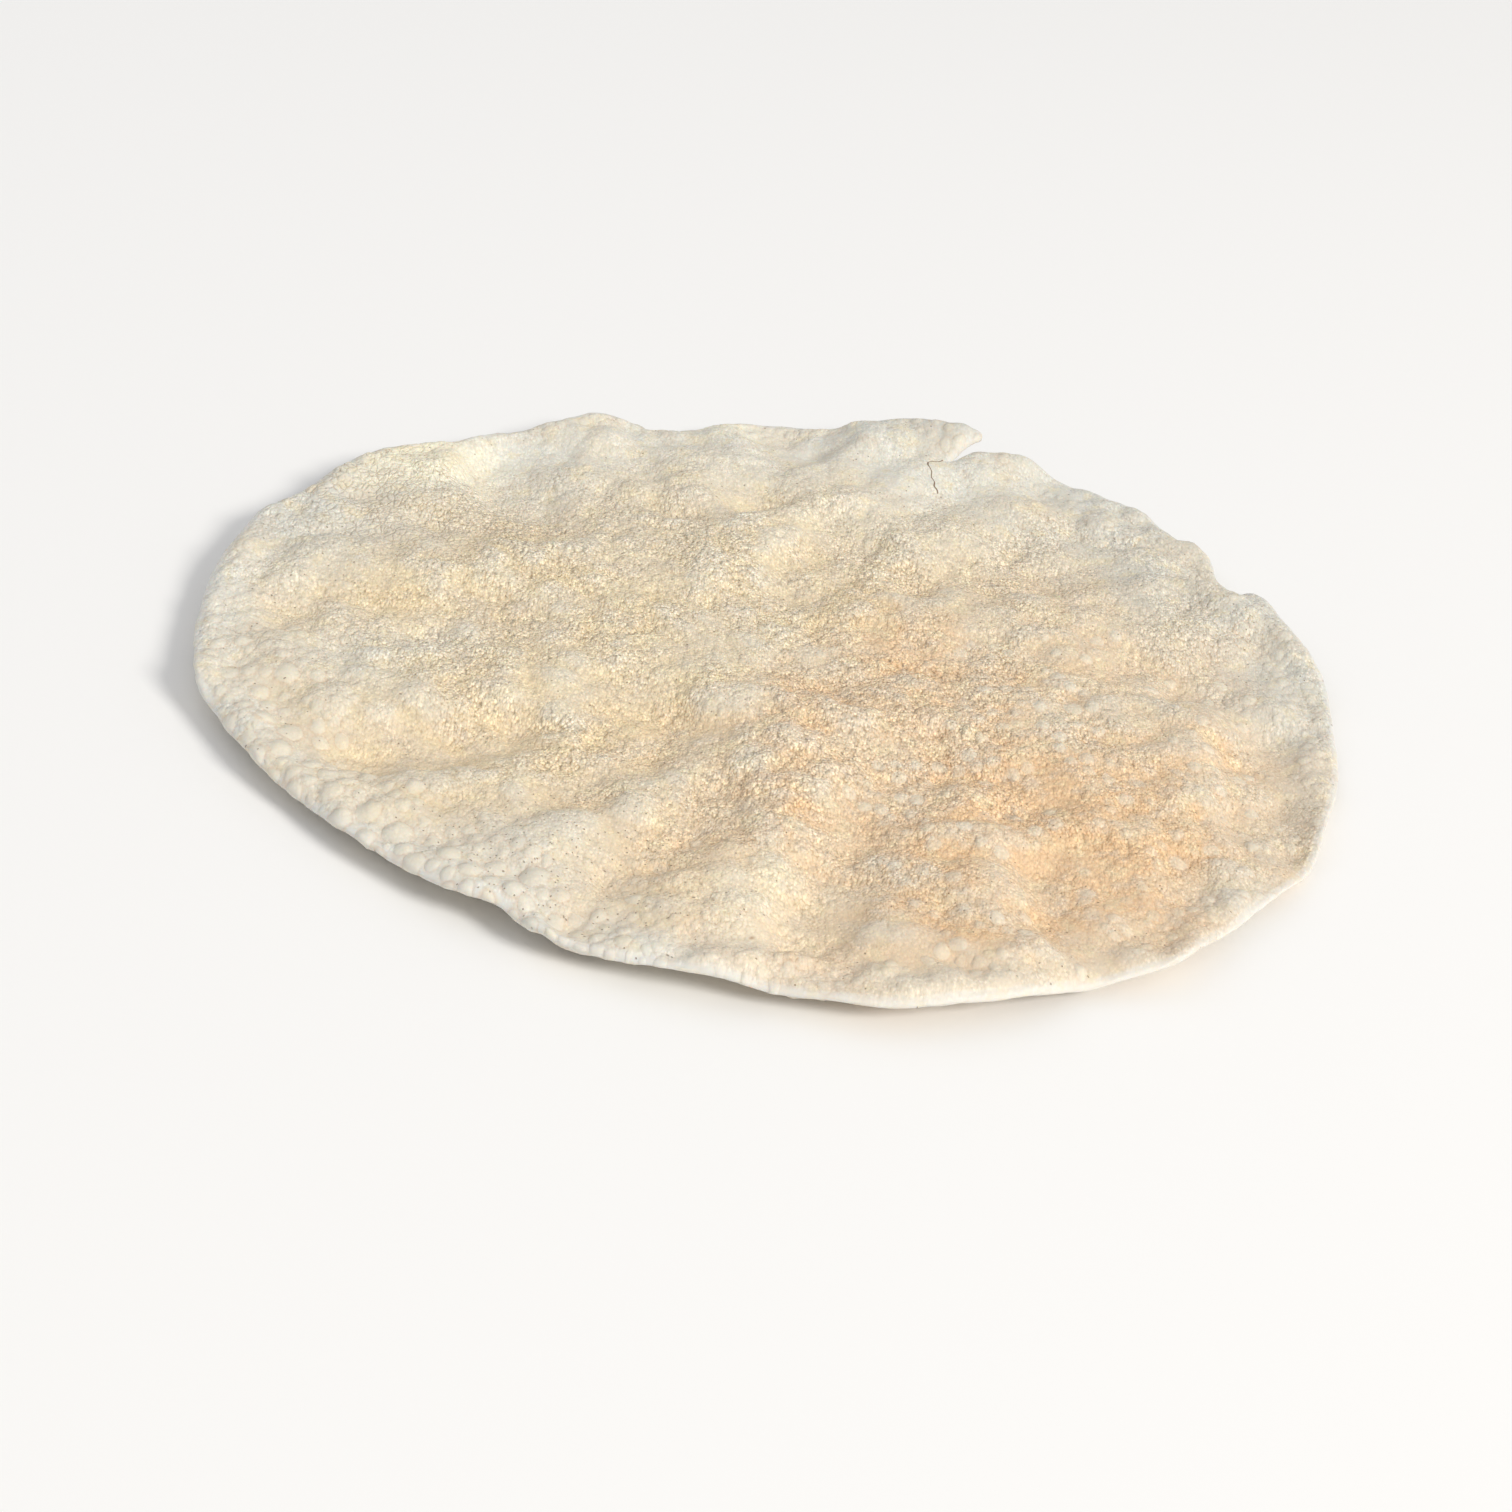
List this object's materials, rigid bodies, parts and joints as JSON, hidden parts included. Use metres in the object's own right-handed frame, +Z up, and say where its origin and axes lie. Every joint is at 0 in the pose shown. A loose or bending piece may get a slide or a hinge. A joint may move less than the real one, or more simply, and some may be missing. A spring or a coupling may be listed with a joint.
{
  "type": "papadum",
  "caption": "Thin round crisp flatbread, ruffled and blistered by frying, with a small tear and a nick in its rim. It lies on its lowest folds.",
  "frame": {"origin": "centre of the round's plan box, on the plane that its lowest folds rest on", "axes": "+Z up through the round, +X and +Y in its plane, with the torn edge towards +Y"},
  "size_m": [0.2014, 0.1996, 0.0117],
  "materials": {
    "crisp": "matte pale cream, paler at the rim, with fine blisters"
  },
  "bodies": {
    "root": {"papadum": "crisp"}
  },
  "joints": []
}
